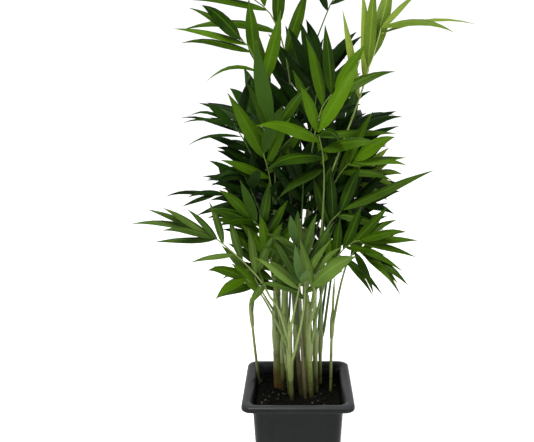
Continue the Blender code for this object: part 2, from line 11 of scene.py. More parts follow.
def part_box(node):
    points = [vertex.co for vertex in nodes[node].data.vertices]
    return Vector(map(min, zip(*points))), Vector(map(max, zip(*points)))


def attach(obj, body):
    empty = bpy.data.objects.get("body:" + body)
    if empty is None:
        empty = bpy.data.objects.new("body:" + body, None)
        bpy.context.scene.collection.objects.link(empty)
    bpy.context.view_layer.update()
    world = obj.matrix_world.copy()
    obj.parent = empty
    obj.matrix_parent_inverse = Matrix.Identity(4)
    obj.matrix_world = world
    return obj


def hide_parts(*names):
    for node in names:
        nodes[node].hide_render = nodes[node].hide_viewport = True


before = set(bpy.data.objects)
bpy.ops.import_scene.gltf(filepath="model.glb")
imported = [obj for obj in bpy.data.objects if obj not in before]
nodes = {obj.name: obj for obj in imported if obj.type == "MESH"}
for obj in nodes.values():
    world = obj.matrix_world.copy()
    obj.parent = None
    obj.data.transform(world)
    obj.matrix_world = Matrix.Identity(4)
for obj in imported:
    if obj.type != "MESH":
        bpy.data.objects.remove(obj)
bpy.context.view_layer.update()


# ---------------------------------------------------------------------------
# The pot: one injection-moulded shell of black polypropylene. Its body tapers
# to the base, a rolled rim with a hollow skirt stiffens the mouth, and four
# drain holes go through the floor.
# ---------------------------------------------------------------------------
# The shell's outline from the base, up the outside, over the rim and down
# the inside to the floor: half width and height.
POT_OUTLINE = [
    (0.0448, 0.0000),
    (0.0458, 0.0005),
    (0.0464, 0.0018),
    (0.0467, 0.0080),
    (0.0492, 0.0550),
    (0.0520, 0.1100),
    (0.0533, 0.1228),
    (0.0542, 0.1250),
    (0.0575, 0.1268),
    (0.0604, 0.1272),
    (0.0624, 0.1262),
    (0.0630, 0.1236),
    (0.0634, 0.1230),
    (0.0646, 0.1230),
    (0.0650, 0.1236),
    (0.0650, 0.1264),
    (0.0645, 0.1283),
    (0.0633, 0.1294),
    (0.0614, 0.1300),
    (0.0592, 0.1300),
    (0.0574, 0.1296),
    (0.0552, 0.1282),
    (0.0530, 0.1262),
    (0.0517, 0.1240),
    (0.0508, 0.1170),
    (0.0476, 0.0550),
    (0.0450, 0.0034),
    (0.0443, 0.0022),
    (0.0430, 0.0018),
]
POT_CORNER_SHARE = 0.36
POT_CORNER_STEPS = 9
DRAIN_HOLE_RADIUS = 0.005
DRAIN_HOLE_PLACE = 0.028
DRAIN_HOLE_SIDES = 32
DRILL_DEPTH = 0.010
DRILL_HEIGHT = 0.001
RIM_DUST_AND_HIGHLIGHT_START = 0.1268
RIM_TOP = 0.1300
MERGE_DISTANCE = 1e-6


def rest_all():
    """Leaves edit mode if need be and selects nothing."""
    if bpy.context.object and bpy.context.object.mode != "OBJECT":
        bpy.ops.object.mode_set(mode="OBJECT")
    bpy.ops.object.select_all(action="DESELECT")


def take(piece):
    """Makes a piece the only one selected, and the active one."""
    rest_all()
    piece.select_set(True)
    bpy.context.view_layer.objects.active = piece


def settle(piece):
    """Puts a piece's place, turn and size into its mesh."""
    take(piece)
    bpy.ops.object.transform_apply(location=True, rotation=True, scale=True)


def outward(piece):
    """Merges doubled corners and makes every face of a closed piece point out."""
    take(piece)
    bpy.ops.object.mode_set(mode="EDIT")
    bpy.ops.mesh.select_all(action="SELECT")
    bpy.ops.mesh.remove_doubles(threshold=MERGE_DISTANCE)
    bpy.ops.mesh.normals_make_consistent(inside=False)
    bpy.ops.object.mode_set(mode="OBJECT")


def cut_with(piece, tool):
    """Cuts a tool's shape out of a piece and clears the tool away."""
    take(piece)
    cut = piece.modifiers.new("cut", "BOOLEAN")
    cut.operation = "DIFFERENCE"
    cut.solver = "EXACT"
    cut.object = tool
    bpy.ops.object.modifier_apply(modifier=cut.name)
    bpy.data.objects.remove(tool, do_unlink=True)


def moulded_plastic(name):
    """Black plastic: fine moulded grain, flow streaks, dust specks, and a paler rim top that is
    partly settled dust and partly a painted highlight.
    """
    plastic = bpy.data.materials.new(name)
    plastic.use_nodes = True
    add, link = plastic.node_tree.nodes.new, plastic.node_tree.links.new
    shader = plastic.node_tree.nodes["Principled BSDF"]
    shader.inputs["IOR"].default_value = 1.49
    shader.inputs["Specular IOR Level"].default_value = 0.12
    place = add("ShaderNodeTexCoord")
    stretch = add("ShaderNodeMapping")
    stretch.inputs["Scale"].default_value = (1, 1, 0.16)
    link(place.outputs["Object"], stretch.inputs["Vector"])
    streaks = add("ShaderNodeTexNoise")
    streaks.inputs["Scale"].default_value = 95
    streaks.inputs["Detail"].default_value = 4
    link(stretch.outputs["Vector"], streaks.inputs["Vector"])
    shade = add("ShaderNodeValToRGB")
    shade.color_ramp.elements[0].position = 0.3
    shade.color_ramp.elements[0].color = (0.0022, 0.0026, 0.0028, 1)
    shade.color_ramp.elements[1].position = 0.72
    shade.color_ramp.elements[1].color = (0.0040, 0.0046, 0.0049, 1)
    link(streaks.outputs["Fac"], shade.inputs["Fac"])
    dust = add("ShaderNodeTexNoise")
    dust.inputs["Scale"].default_value = 34
    dust.inputs["Detail"].default_value = 7
    dust.inputs["Roughness"].default_value = 0.68
    link(place.outputs["Object"], dust.inputs["Vector"])
    dusty = add("ShaderNodeMapRange")
    dusty.inputs["From Min"].default_value = 0.52
    dusty.inputs["From Max"].default_value = 0.85
    dusty.inputs["To Max"].default_value = 0.10
    link(dust.outputs["Fac"], dusty.inputs["Value"])
    # The rim's top is made paler: partly settled dust, partly a painted highlight.
    height = add("ShaderNodeSeparateXYZ")
    link(place.outputs["Object"], height.inputs["Vector"])
    rim_dust_and_highlight = add("ShaderNodeMapRange")
    rim_dust_and_highlight.inputs["From Min"].default_value = RIM_DUST_AND_HIGHLIGHT_START
    rim_dust_and_highlight.inputs["From Max"].default_value = RIM_TOP
    rim_dust_and_highlight.inputs["To Max"].default_value = 0.55
    link(height.outputs["Z"], rim_dust_and_highlight.inputs["Value"])
    dust_and_highlight = add("ShaderNodeMath")
    dust_and_highlight.operation = "ADD"
    dust_and_highlight.use_clamp = True
    link(dusty.outputs["Result"], dust_and_highlight.inputs[0])
    link(rim_dust_and_highlight.outputs["Result"], dust_and_highlight.inputs[1])
    dusted_and_highlighted = add("ShaderNodeMix")
    dusted_and_highlighted.data_type = "RGBA"
    dusted_and_highlighted.inputs["B"].default_value = (0.058, 0.061, 0.064, 1)
    link(dust_and_highlight.outputs["Value"], dusted_and_highlighted.inputs["Factor"])
    link(shade.outputs["Color"], dusted_and_highlighted.inputs["A"])
    link(dusted_and_highlighted.outputs["Result"], shader.inputs["Base Color"])
    dull = add("ShaderNodeMapRange")
    dull.inputs["To Min"].default_value = 0.24
    dull.inputs["To Max"].default_value = 0.44
    link(dust.outputs["Fac"], dull.inputs["Value"])
    link(dull.outputs["Result"], shader.inputs["Roughness"])
    grain = add("ShaderNodeTexNoise")
    grain.inputs["Scale"].default_value = 1500
    grain.inputs["Detail"].default_value = 3
    link(place.outputs["Object"], grain.inputs["Vector"])
    relief = add("ShaderNodeBump")
    relief.inputs["Strength"].default_value = 0.2
    relief.inputs["Distance"].default_value = 0.0004
    link(grain.outputs["Fac"], relief.inputs["Height"])
    link(relief.outputs["Normal"], shader.inputs["Normal"])
    return plastic


rest_all()
base_half = POT_OUTLINE[0][0]
bpy.ops.mesh.primitive_plane_add(size=2 * base_half)
pot = bpy.context.object
pot.name = "nursery_pot"
bpy.ops.object.mode_set(mode="EDIT")
bpy.ops.mesh.select_all(action="SELECT")
bpy.ops.mesh.bevel(offset=base_half * POT_CORNER_SHARE / 2, segments=POT_CORNER_STEPS,
                   affect="VERTICES")
for (half, height), (next_half, next_height) in zip(POT_OUTLINE, POT_OUTLINE[1:]):
    bpy.ops.mesh.extrude_region_move(
        TRANSFORM_OT_translate={"value": (0, 0, next_height - height)})
    ratio = next_half / half
    bpy.ops.transform.resize(value=(ratio, ratio, 1), center_override=(0, 0, next_height))
bpy.ops.object.mode_set(mode="OBJECT")
outward(pot)
for x in (-DRAIN_HOLE_PLACE, DRAIN_HOLE_PLACE):
    for y in (-DRAIN_HOLE_PLACE, DRAIN_HOLE_PLACE):
        rest_all()
        bpy.ops.mesh.primitive_cylinder_add(vertices=DRAIN_HOLE_SIDES, radius=DRAIN_HOLE_RADIUS,
                                            depth=DRILL_DEPTH, location=(x, y, DRILL_HEIGHT))
        drill = bpy.context.object
        settle(drill)
        cut_with(pot, drill)
take(pot)
bpy.ops.object.shade_smooth_by_angle(angle=math.radians(40))
pot.data.materials.append(moulded_plastic("black_moulded_plastic"))
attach(pot, "root")
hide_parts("pot")


# ---------------------------------------------------------------------------
# The soil: dark peat potting mix, pressed into the pot and watered level. Its
# top is crumbly, with bits of bark and a few pale grains of perlite.
# ---------------------------------------------------------------------------
SOIL_SKIN = 0.0016
SOIL_SIDE_GAP = 0.0002
SOIL_BASE_GAP = 0.0004
SOIL_BASE_SHARE = 0.868
SOIL_CELLS = 96
CRUMBS = 620
GRAINS = 34
CRUMB_MARGIN = 0.003
CRUMB_CORNER = 0.009
soil_low, soil_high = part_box("soil")
soil_dice = random.Random(41)
noise.seed_set(41)


def peat(name):
    """Nearly black fibrous peat, moist, with brown flecks."""
    earth = bpy.data.materials.new(name)
    earth.use_nodes = True
    add, link = earth.node_tree.nodes.new, earth.node_tree.links.new
    shader = earth.node_tree.nodes["Principled BSDF"]
    shader.inputs["Specular IOR Level"].default_value = 0.05
    place = add("ShaderNodeTexCoord")
    clods = add("ShaderNodeTexNoise")
    clods.inputs["Scale"].default_value = 260
    clods.inputs["Detail"].default_value = 8
    clods.inputs["Roughness"].default_value = 0.7
    link(place.outputs["Object"], clods.inputs["Vector"])
    shade = add("ShaderNodeValToRGB")
    shade.color_ramp.elements[0].position = 0.35
    shade.color_ramp.elements[0].color = (0.0010, 0.0010, 0.0007, 1)
    shade.color_ramp.elements[1].position = 0.70
    shade.color_ramp.elements[1].color = (0.0050, 0.0048, 0.0030, 1)
    fleck = shade.color_ramp.elements.new(0.76)
    fleck.color = (0.040, 0.038, 0.024, 1)
    link(clods.outputs["Fac"], shade.inputs["Fac"])
    link(shade.outputs["Color"], shader.inputs["Base Color"])
    damp = add("ShaderNodeMapRange")
    damp.inputs["To Min"].default_value = 0.62
    damp.inputs["To Max"].default_value = 0.95
    link(clods.outputs["Fac"], damp.inputs["Value"])
    link(damp.outputs["Result"], shader.inputs["Roughness"])
    relief = add("ShaderNodeBump")
    relief.inputs["Strength"].default_value = 0.8
    relief.inputs["Distance"].default_value = 0.0012
    link(clods.outputs["Fac"], relief.inputs["Height"])
    link(relief.outputs["Normal"], shader.inputs["Normal"])
    return earth


def perlite(name):
    """Off-white expanded mineral grains, pitted and stained by the peat."""
    grain = bpy.data.materials.new(name)
    grain.use_nodes = True
    add, link = grain.node_tree.nodes.new, grain.node_tree.links.new
    shader = grain.node_tree.nodes["Principled BSDF"]
    shader.inputs["Roughness"].default_value = 0.85
    place = add("ShaderNodeTexCoord")
    stain = add("ShaderNodeTexNoise")
    stain.inputs["Scale"].default_value = 700
    stain.inputs["Detail"].default_value = 5
    link(place.outputs["Object"], stain.inputs["Vector"])
    shade = add("ShaderNodeValToRGB")
    shade.color_ramp.elements[0].position = 0.38
    shade.color_ramp.elements[0].color = (0.010, 0.010, 0.007, 1)
    shade.color_ramp.elements[1].position = 0.62
    shade.color_ramp.elements[1].color = (0.050, 0.050, 0.036, 1)
    link(stain.outputs["Fac"], shade.inputs["Fac"])
    link(shade.outputs["Color"], shader.inputs["Base Color"])
    relief = add("ShaderNodeBump")
    relief.inputs["Strength"].default_value = 0.6
    relief.inputs["Distance"].default_value = 0.0003
    link(stain.outputs["Fac"], relief.inputs["Height"])
    link(relief.outputs["Normal"], shader.inputs["Normal"])
    return grain


def soil_lift(x, y):
    """How far the crumbly top stands above or below the watered level."""
    hills = noise.noise(Vector((x * 45, y * 45, 1.5))) * 0.0014
    lumps = noise.noise(Vector((x * 170, y * 170, 4.5))) * 0.0011
    grit = noise.noise(Vector((x * 420, y * 420, 8.5))) * 0.0006
    return hills + lumps + grit


rest_all()
half_width = soil_high.x - SOIL_SIDE_GAP
level = soil_high.z - SOIL_SKIN
base = soil_low.z + SOIL_BASE_GAP
bpy.ops.mesh.primitive_grid_add(x_subdivisions=SOIL_CELLS, y_subdivisions=SOIL_CELLS,
                                size=2 * half_width, location=(0, 0, level))
soil = bpy.context.object
soil.name = "potting_soil"
settle(soil)
corner = half_width * POT_CORNER_SHARE / 2
for spot in soil.data.vertices:
    # How far a spot is into the rounded corner; its square is drawn in to a circle.
    inner = Vector((abs(spot.co.x), abs(spot.co.y))) - Vector((1, 1)) * (half_width - corner)
    if inner.x > 0 and inner.y > 0:
        inner *= max(inner.x, inner.y) / inner.length
        spot.co.x = math.copysign(half_width - corner + inner.x, spot.co.x)
        spot.co.y = math.copysign(half_width - corner + inner.y, spot.co.y)
    spot.co.z += soil_lift(spot.co.x, spot.co.y)
take(soil)
bpy.ops.object.mode_set(mode="EDIT")
bpy.ops.mesh.select_all(action="SELECT")
bpy.ops.mesh.extrude_region_move(TRANSFORM_OT_translate={"value": (0, 0, base - level)})
bpy.ops.object.mode_set(mode="OBJECT")
for spot in soil.data.vertices:
    if spot.co.z < level / 2:
        spot.co = (spot.co.x * SOIL_BASE_SHARE, spot.co.y * SOIL_BASE_SHARE, base)
outward(soil)
soil.data.materials.append(peat("moist_peat"))
soil.data.materials.append(perlite("perlite"))

rest_all()
bpy.ops.mesh.primitive_ico_sphere_add(subdivisions=1, radius=1)
crumb = bpy.context.object
bits = []
for count in range(CRUMBS + GRAINS):
    pale = count >= CRUMBS
    bit = crumb.copy()
    bit.data = crumb.data.copy()
    bpy.context.scene.collection.objects.link(bit)
    x = soil_dice.uniform(-1, 1) * (half_width - CRUMB_MARGIN)
    y = soil_dice.uniform(-1, 1) * (half_width - CRUMB_MARGIN)
    if min(abs(x), abs(y)) > half_width - CRUMB_CORNER:
        x *= 0.8
    if pale:
        size = soil_dice.uniform(0.0008, 0.0021)
    else:
        size = 0.0006 + 0.0022 * soil_dice.random() ** 3
    turn = Matrix.Rotation(soil_dice.uniform(0, math.tau), 4, "Z")
    tip = Matrix.Rotation(soil_dice.uniform(-0.6, 0.6), 4, "X")
    long = 1.0 if pale else soil_dice.uniform(0.9, 1.9)
    shape = Matrix.Diagonal((size * long, size, size * soil_dice.uniform(0.5, 0.85), 1))
    height = level + soil_lift(x, y) + size * 0.25
    bit.data.transform(Matrix.Translation((x, y, height)) @ turn @ tip @ shape)
    for spot in bit.data.vertices:
        spot.co += noise.noise_vector(spot.co * 900) * size * 0.3
    bit.data.materials.append(soil.data.materials[0])
    bit.data.materials.append(soil.data.materials[1])
    for face in bit.data.polygons:
        face.material_index = 1 if pale else 0
    bits.append(bit)
bpy.data.objects.remove(crumb, do_unlink=True)
take(soil)
for bit in bits:
    bit.select_set(True)
bpy.ops.object.join()
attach(soil, "root")
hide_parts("soil")


# ---------------------------------------------------------------------------
# The canes: green jointed stems of unequal age, each pushed up from the soil.
# Old leaf scars ring them, and the feet are corky and stained by the soil, with painted shade
# darkening them further towards the soil.
# ---------------------------------------------------------------------------
CANE_SIDES = 16
CANE_RINGS = 64
CANE_SPACING = 0.027
SOIL_STAIN_AND_SHADE_RAGGEDNESS = 0.07
CAD_CANE_SIDES = 8
CAD_MERGE_DISTANCE = 2e-5
SPEAR_START = 0.88
SPEAR_TAPER = 0.75
SCAR_SWELL = 0.05
SCAR_SWELL_HALF = 0.0022
SCAR_MARK_HALF = 0.0014


def closed_stem(sides, rings):
    """A straight stem one unit long and one in radius, closed at both ends."""
    rest_all()
    bpy.ops.mesh.primitive_circle_add(vertices=sides, radius=1, fill_type="NGON",
                                      rotation=(math.pi / 2, 0, 0))
    stem = bpy.context.object
    settle(stem)
    bpy.ops.object.mode_set(mode="EDIT")
    bpy.ops.mesh.select_all(action="SELECT")
    for ring in range(rings):
        bpy.ops.mesh.extrude_region_move(TRANSFORM_OT_translate={"value": (0, 1 / rings, 0)})
    bpy.ops.object.mode_set(mode="OBJECT")
    outward(stem)
    return stem


def read_cane(node):
    """The middle and the radius of each of a CAD cane's rings, foot first."""
    shape = bmesh.new()
    shape.from_mesh(node.data)
    bmesh.ops.remove_doubles(shape, verts=shape.verts, dist=CAD_MERGE_DISTANCE)
    spots = sorted((v.co.copy() for v in shape.verts), key=lambda co: co.z)
    shape.free()
    rings = []
    for start in range(0, len(spots), CAD_CANE_SIDES):
        ring = spots[start:start + CAD_CANE_SIDES]
        middle = sum(ring, Vector()) / CAD_CANE_SIDES
        radius = sum((co - middle).length for co in ring) / CAD_CANE_SIDES
        rings.append((middle, radius))
    return rings


def smooth_line(points):
    """The smooth line through points, as a function of the share along it, and its length.

    Before the first point and after the last one the line runs on straight.
    """
    lengths = [0.0]
    for a, b in zip(points, points[1:]):
        lengths.append(lengths[-1] + (b - a).length)
    total = lengths[-1]

    def line(share):
        held = min(max(share, 0.0), 1.0)
        reach = held * total
        index = 0
        while index < len(points) - 2 and lengths[index + 1] < reach:
            index += 1
        span = lengths[index + 1] - lengths[index]
        t = (reach - lengths[index]) / span
        a, b = points[index], points[index + 1]
        before = points[index - 1] if index > 0 else a * 2 - b
        after = points[index + 2] if index + 2 < len(points) else b * 2 - a
        curve = (a * 2 + (b - before) * t + (before * 2 - a * 5 + b * 4 - after) * t * t
                 + (a * 3 - before - b * 3 + after) * t * t * t) * 0.5
        end = points[-1] - points[-2] if share > 1 else points[1] - points[0]
        return curve + end.normalized() * ((share - held) * total)

    return line, total


def bend(piece, line, side, breadth, thickness):
    """Bends a piece that is straight along Y onto a line.

    X goes to the side and is scaled by breadth, Z by thickness; both are
    functions of the share of the length.
    """
    for spot in piece.data.vertices:
        share = spot.co.y
        tangent = (line(share + 0.01) - line(share - 0.01)).normalized()
        upper = side.cross(tangent).normalized()
        across = tangent.cross(upper)
        offset = across * (spot.co.x * breadth(share)) + upper * (spot.co.z * thickness(share))
        spot.co = line(share) + offset


def stem_skin(name, foot_stain_and_shade_colour, low_colour, high_colour, change_low, change_high):
    """Cane skin: corky, soil-stained foot darkened further by painted shade, green above,
    fibres along it and darker leaf scars.
    """
    skin = bpy.data.materials.new(name)
    skin.use_nodes = True
    add, link = skin.node_tree.nodes.new, skin.node_tree.links.new
    shader = skin.node_tree.nodes["Principled BSDF"]
    shader.inputs["Roughness"].default_value = 0.5
    shader.inputs["Specular IOR Level"].default_value = 0.25
    place = add("ShaderNodeTexCoord")
    height = add("ShaderNodeSeparateXYZ")
    link(place.outputs["Object"], height.inputs["Vector"])
    mottle = add("ShaderNodeTexNoise")
    mottle.inputs["Scale"].default_value = 70
    mottle.inputs["Detail"].default_value = 6
    link(place.outputs["Object"], mottle.inputs["Vector"])
    ragged = add("ShaderNodeMath")
    ragged.operation = "MULTIPLY_ADD"
    ragged.inputs[1].default_value = SOIL_STAIN_AND_SHADE_RAGGEDNESS
    link(mottle.outputs["Fac"], ragged.inputs[0])
    link(height.outputs["Z"], ragged.inputs[2])
    rise = add("ShaderNodeMapRange")
    rise.inputs["From Min"].default_value = change_low + SOIL_STAIN_AND_SHADE_RAGGEDNESS / 2
    rise.inputs["From Max"].default_value = change_high + SOIL_STAIN_AND_SHADE_RAGGEDNESS / 2
    link(ragged.outputs["Value"], rise.inputs["Value"])
    # From foot to top: corky, soil-stained colour darkened by painted shade near the soil, then
    # green.
    shade = add("ShaderNodeValToRGB")
    shade.color_ramp.elements[0].position = 0.02
    shade.color_ramp.elements[0].color = (*foot_stain_and_shade_colour, 1)
    shade.color_ramp.elements[1].position = 1.0
    shade.color_ramp.elements[1].color = (*high_colour, 1)
    low = shade.color_ramp.elements.new(0.22)
    low.color = (*low_colour, 1)
    link(rise.outputs["Result"], shade.inputs["Fac"])
    stretch = add("ShaderNodeMapping")
    stretch.inputs["Scale"].default_value = (1, 1, 0.05)
    link(place.outputs["Object"], stretch.inputs["Vector"])
    fibres = add("ShaderNodeTexNoise")
    fibres.inputs["Scale"].default_value = 900
    fibres.inputs["Detail"].default_value = 4
    link(stretch.outputs["Vector"], fibres.inputs["Vector"])
    fibre_shade = add("ShaderNodeMapRange")
    fibre_shade.inputs["From Min"].default_value = 0.3
    fibre_shade.inputs["From Max"].default_value = 0.7
    fibre_shade.inputs["To Min"].default_value = 0.62
    fibre_shade.inputs["To Max"].default_value = 1.25
    link(fibres.outputs["Fac"], fibre_shade.inputs["Value"])
    scar = add("ShaderNodeAttribute")
    scar.attribute_name = "scar"
    scar_shade = add("ShaderNodeMapRange")
    scar_shade.inputs["To Min"].default_value = 1.0
    scar_shade.inputs["To Max"].default_value = 0.62
    link(scar.outputs["Fac"], scar_shade.inputs["Value"])
    both = add("ShaderNodeMath")
    both.operation = "MULTIPLY"
    link(fibre_shade.outputs["Result"], both.inputs[0])
    link(scar_shade.outputs["Result"], both.inputs[1])
    toned = add("ShaderNodeVectorMath")
    toned.operation = "SCALE"
    link(shade.outputs["Color"], toned.inputs[0])
    link(both.outputs["Value"], toned.inputs["Scale"])
    link(toned.outputs["Vector"], shader.inputs["Base Color"])
    relief = add("ShaderNodeBump")
    relief.inputs["Strength"].default_value = 0.45
    relief.inputs["Distance"].default_value = 0.0005
    link(fibres.outputs["Fac"], relief.inputs["Height"])
    link(relief.outputs["Normal"], shader.inputs["Normal"])
    return skin


# The foot and low colours are cork and soil stain, darkened further with painted shade.
cane_skins = {
    "green": stem_skin("green_cane", (0.022, 0.020, 0.006), (0.070, 0.078, 0.018),
                       (0.150, 0.205, 0.045), 0.112, 0.190),
    "rusty": stem_skin("rusty_footed_cane", (0.085, 0.042, 0.006), (0.098, 0.104, 0.022),
                       (0.120, 0.160, 0.030), 0.117, 0.225),
    "fibrous": stem_skin("fibre_clad_cane", (0.012, 0.007, 0.003), (0.030, 0.018, 0.007),
                         (0.075, 0.070, 0.025), 0.117, 0.300),
    "faded": stem_skin("faded_cane", (0.030, 0.024, 0.010), (0.075, 0.068, 0.026),
                       (0.110, 0.120, 0.045), 0.112, 0.240),
}
CANE_SKIN = {
    "cane_left_thick": "rusty",
    "cane_brown": "fibrous",
    "cane_centre_left": "faded",
    "cane_centre_slim": "faded",
}
straight_cane = closed_stem(sides=CANE_SIDES, rings=CANE_RINGS)
straight_cane.data.attributes.new("scar", "FLOAT", "POINT")
cane_lines = {}
for name in sorted(nodes):
    if not name.startswith("cane_"):
        continue
    rings = read_cane(nodes[name])
    line, length = smooth_line([middle for middle, _ in rings])
    foot_radius, top_radius = rings[0][1], rings[-1][1]
    dice = random.Random(name)
    scars = []
    height = soil_high.z - rings[0][0].z + dice.uniform(0.012, 0.03)
    while height < length:
        scars.append(height / length)
        height += CANE_SPACING * dice.uniform(0.7, 1.3)

    def girth(share, foot=foot_radius, top=top_radius, scars=scars, length=length):
        radius = foot + (top - foot) * min(share, 1.0)
        nearest = min(abs(share - scar) for scar in scars) * length
        spear = 1 - SPEAR_TAPER * max((share - SPEAR_START) / (1 - SPEAR_START), 0) ** 1.5
        swell = 1 + SCAR_SWELL * math.exp(-(nearest / SCAR_SWELL_HALF) ** 2)
        return radius * spear * swell

    cane = straight_cane.copy()
    cane.data = straight_cane.data.copy()
    cane.name = name + "_stem"
    bpy.context.scene.collection.objects.link(cane)
    mark = cane.data.attributes["scar"].data
    for spot in cane.data.vertices:
        nearest = min(abs(spot.co.y - scar) for scar in scars) * length
        mark[spot.index].value = math.exp(-(nearest / SCAR_MARK_HALF) ** 2)
    bend(cane, line, Vector((1, 0, 0)), girth, girth)
    cane_lines[name] = (line, girth, rings[0][0].z, rings[-1][0].z)
    take(cane)
    bpy.ops.object.shade_smooth_by_angle(angle=math.radians(50))
    cane.data.materials.append(cane_skins[CANE_SKIN.get(name, "green")])
    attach(cane, "root")
    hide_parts(name)
bpy.data.objects.remove(straight_cane, do_unlink=True)


# ---------------------------------------------------------------------------
# The fronds: each is grown in one piece, a sheath that clasps its cane, a
# slender stalk, and two rows of thin folded leaflets with long drawn-out tips.
# ---------------------------------------------------------------------------
# A leaflet's outline from foot to tip: share of length, share of full breadth.
LEAFLET_OUTLINE = [
    (0.000, 0.10),
    (0.045, 0.34),
    (0.130, 0.70),
    (0.260, 0.95),
    (0.400, 1.00),
    (0.560, 0.90),
    (0.700, 0.67),
    (0.830, 0.38),
    (0.930, 0.15),
    (1.000, 0.015),
]
# Its section: the two edges, the upper side with the raised midrib, and one
# point of the under side.
LEAFLET_SECTION = [(1.0, 0.0), (0.5, 0.75), (0.0, 1.0), (-0.5, 0.75), (-1.0, 0.0), (0.0, 0.55)]
LEAFLET_FOLD = 0.40
# The CAD leaflet's two rings: share of length, and share of full breadth at the low one.
RING_LOW = 0.24
RING_HIGH = 0.72
RING_LOW_BREADTH = 0.95
CAD_STALK_SIDES = 6
STALK_FOOT = 0.0019
STALK_TIP = 0.00065
STALK_STEP = 0.006
STALK_MARGIN = 0.004
TIP_EDGE = 0.005
SHEATH_LENGTH = 0.030
SHEATH_OVERLAP = 0.004
SHEATH_THICKNESS = 0.0004
SHEATH_SWELL = 0.0009
SHEATH_LEAN = 0.16
LOWEST_SHEATH = 0.06
LONG_LEAFLET = 0.085
SAG_START = 0.55
FULLNESS = 1.12
YOUNG_FULLNESS = 0.94
# Painted shade for leaflets inside the plant and half way up it: how far out and how high, and
# how dark it leaves them.
OPEN_DISTANCE = 0.085
LEAST_OPENNESS = 0.12
PLANT_MIDDLE_Y = 0.02
DARKEST_HEIGHT = 0.335
DARKEST_HALF = 0.060
DEEPEST_SHADE = 0.62
# Each tone: the shaded and the lit green of the upper side, and the under side.
# leaf_dark, leaf_mid and leaf_pale are copies of one leaf: leaf_dark holds painted shade and
# leaf_pale painted light.
LEAF_TONES = {
    "leaf_dark": ((0.0004, 0.0040, 0.0001), (0.0060, 0.0240, 0.0004), (0.008, 0.024, 0.002)),
    "leaf_mid": ((0.0012, 0.0090, 0.0002), (0.0440, 0.0980, 0.0012), (0.020, 0.050, 0.004)),
    "leaf_pale": ((0.0400, 0.0780, 0.0050), (0.1300, 0.1850, 0.0220), (0.095, 0.150, 0.032)),
    "leaf_young": ((0.0050, 0.0220, 0.0010), (0.0840, 0.1400, 0.0230), (0.052, 0.100, 0.022)),
}
YOUNG_FRONDS = {"frond_low_broad", "frond_low_vee", "frond_left_low", "frond_pale_upright",
                "frond_front_low"}


